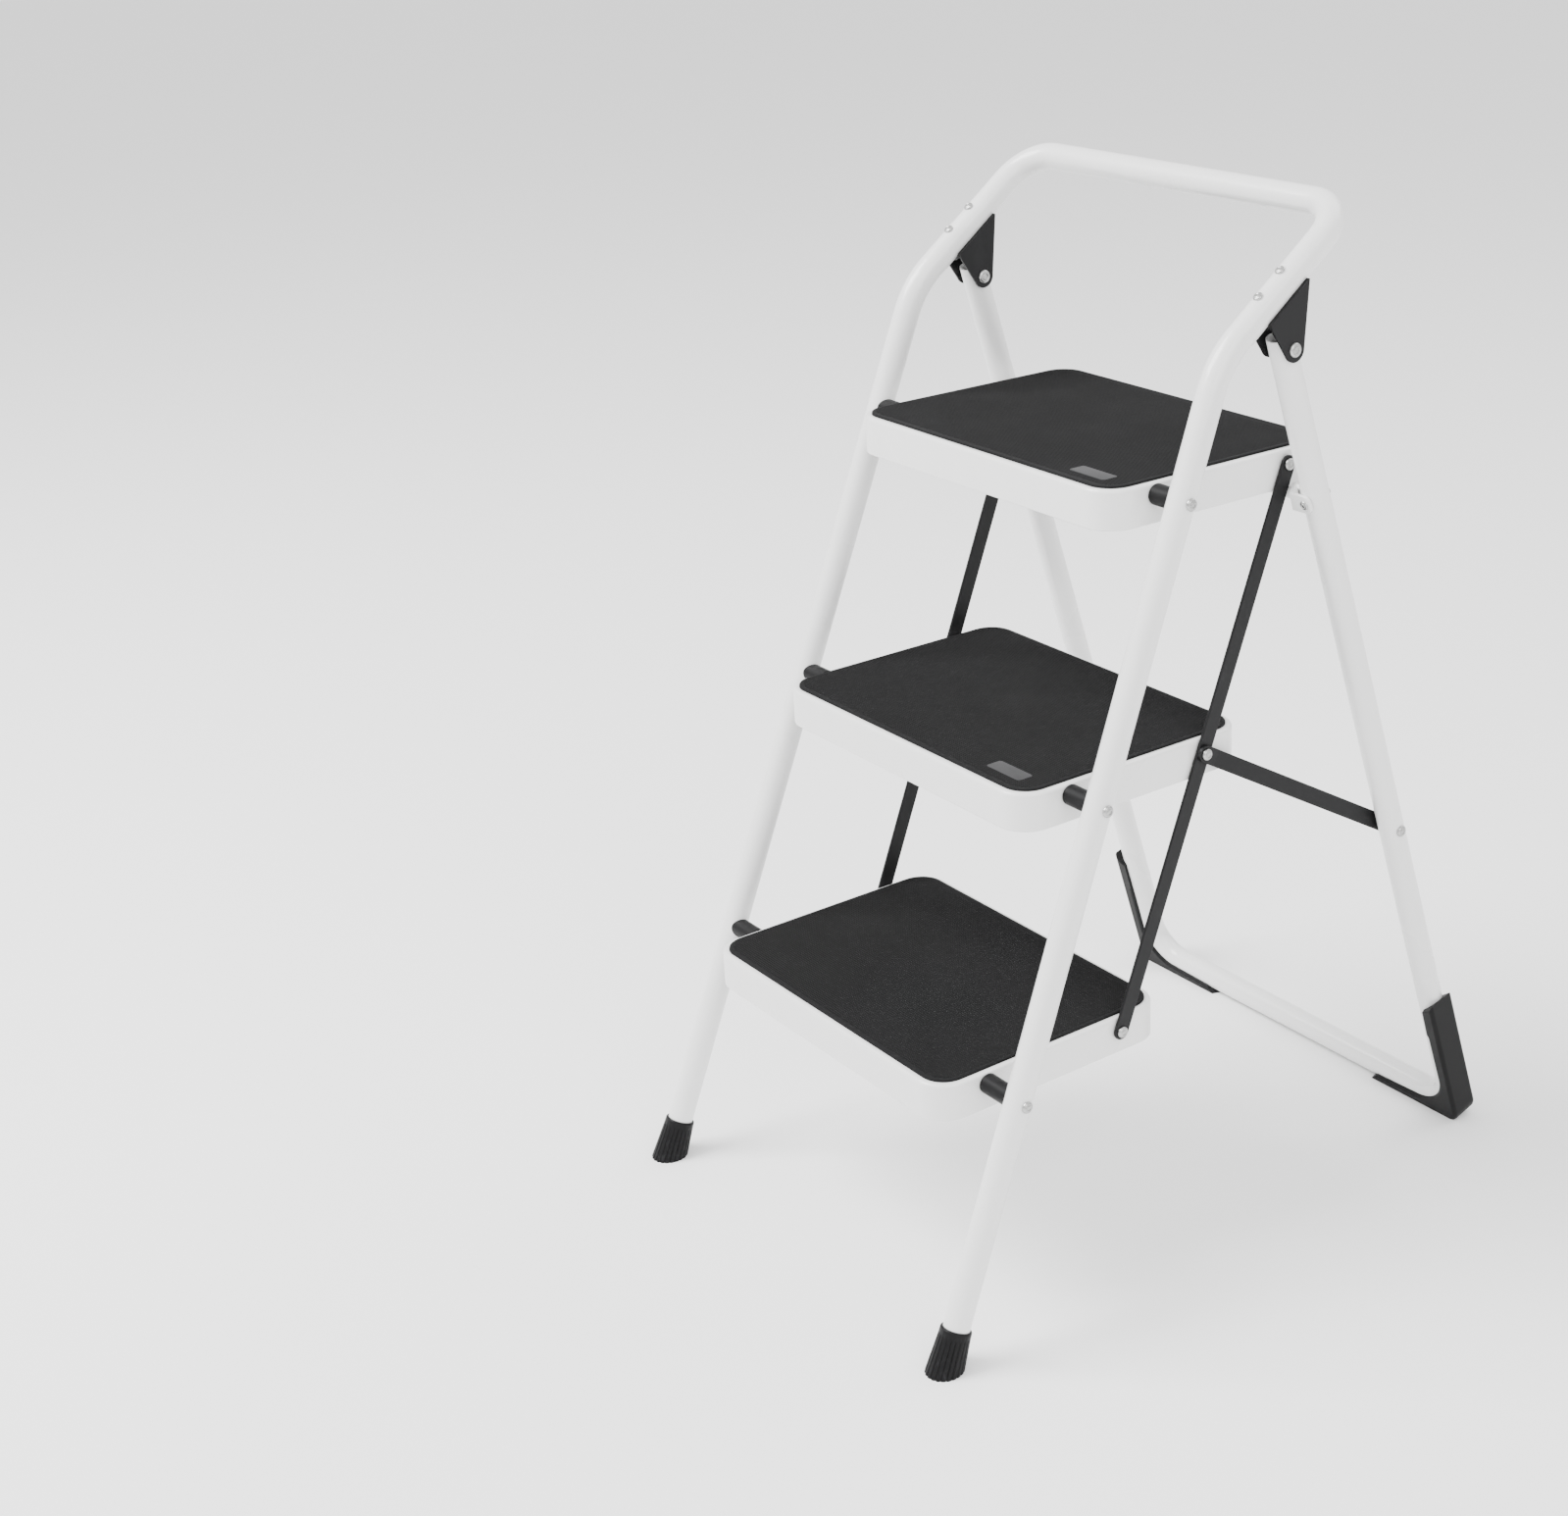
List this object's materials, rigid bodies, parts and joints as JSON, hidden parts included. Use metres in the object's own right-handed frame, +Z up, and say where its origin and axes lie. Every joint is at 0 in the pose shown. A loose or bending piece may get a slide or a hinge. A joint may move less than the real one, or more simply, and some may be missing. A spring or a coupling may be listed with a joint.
{
  "type": "folding step stool",
  "caption": "Folding household step stool with a bent tube frame, a grab handle across the top and sheet steel treads with rubber mats that fold flat together.",
  "frame": {"origin": "on the floor, under the middle of the open stool's outline", "axes": "+X to the right side seen from the front, +Y to the rear, +Z up"},
  "size_m": [0.5, 0.7056, 0.9685],
  "materials": {
    "white_steel": "satin white powder coat",
    "black_steel": "satin black powder coat",
    "plated_steel": "zinc plated",
    "black_rubber": "matt, ribbed",
    "black_plastic": "moulded"
  },
  "bodies": {
    "front_frame": {"front_frame": "white_steel", "hinge_bracket_left": "black_steel", "hinge_bracket_right": "black_steel", "bracket_rivets": "plated_steel", "hinge_pins": "plated_steel", "tread_spacers": "black_plastic", "front_foot_left": "black_rubber", "front_foot_right": "black_rubber", "top_front_pins": "plated_steel", "middle_front_pins": "plated_steel", "lower_front_pins": "plated_steel"},
    "rear_frame": {"rear_frame": "white_steel", "rear_boot_left": "black_rubber", "rear_boot_right": "black_rubber", "cross_tube": "white_steel", "cross_tube_rivets": "plated_steel", "stay_leg_rivets": "plated_steel"},
    "top_tread": {"top_tread": "white_steel", "top_mat": "black_rubber", "top_link_pins": "plated_steel", "latch_bracket": "plated_steel", "latch_pin": "plated_steel"},
    "middle_tread": {"middle_tread": "white_steel", "middle_mat": "black_rubber", "middle_link_pins": "plated_steel"},
    "lower_tread": {"lower_tread": "white_steel", "lower_mat": "black_rubber", "lower_link_pins": "plated_steel"},
    "link_bar_left": {"link_bar_left": "black_steel"},
    "link_bar_right": {"link_bar_right": "black_steel"},
    "stay_left": {"stay_left": "black_steel", "stay_end_rivet_left": "plated_steel"},
    "stay_right": {"stay_right": "black_steel", "stay_end_rivet_right": "plated_steel"},
    "latch": {"latch": "plated_steel"}
  },
  "joints": [
    {"name": "fold", "type": "hinge", "parent": "front_frame", "child": "rear_frame", "pos_m": [0, 0.07357, 0.847], "axis": [-1, 0, 0], "range_deg": [0, 41.26]},
    {"name": "top_tread_fold", "type": "hinge", "parent": "front_frame", "child": "top_tread", "pos_m": [0, -0.04384, 0.735], "axis": [1, 0, 0], "range_deg": [0, 58.37]},
    {"name": "middle_tread_fold", "type": "hinge", "parent": "front_frame", "child": "middle_tread", "pos_m": [0, -0.14234, 0.485], "axis": [1, 0, 0], "range_deg": [0, 58.37]},
    {"name": "lower_tread_fold", "type": "hinge", "parent": "front_frame", "child": "lower_tread", "pos_m": [0, -0.24084, 0.235], "axis": [1, 0, 0], "range_deg": [0, 58.37]},
    {"name": "link_bar_left_pivot", "type": "hinge", "parent": "middle_tread", "child": "link_bar_left", "pos_m": [0, 0.01166, 0.482], "axis": [1, 0, 0], "range_deg": [-58.37, 0]},
    {"name": "stay_left_pivot", "type": "hinge", "parent": "middle_tread", "child": "stay_left", "pos_m": [0, 0.01166, 0.482], "axis": [1, 0, 0], "range_deg": [-135.72, 0]},
    {"name": "link_bar_right_pivot", "type": "hinge", "parent": "middle_tread", "child": "link_bar_right", "pos_m": [0, 0.01166, 0.482], "axis": [1, 0, 0], "range_deg": [-58.37, 0]},
    {"name": "stay_right_pivot", "type": "hinge", "parent": "middle_tread", "child": "stay_right", "pos_m": [0, 0.01166, 0.482], "axis": [1, 0, 0], "range_deg": [-135.72, 0]},
    {"name": "latch_release", "type": "hinge", "parent": "top_tread", "child": "latch", "pos_m": [0, 0.13907, 0.73], "axis": [1, 0, 0], "range_deg": [0, 15]}
  ],
  "couplings": [
    {"joint": "top_tread_fold", "follows": "fold", "ratio": 1.4144},
    {"joint": "middle_tread_fold", "follows": "fold", "ratio": 1.4144},
    {"joint": "lower_tread_fold", "follows": "fold", "ratio": 1.4144},
    {"joint": "link_bar_left_pivot", "follows": "fold", "ratio": -1.4144},
    {"joint": "stay_left_pivot", "follows": "fold", "ratio": -3.2891},
    {"joint": "link_bar_right_pivot", "follows": "fold", "ratio": -1.4144},
    {"joint": "stay_right_pivot", "follows": "fold", "ratio": -3.2891}
  ]
}
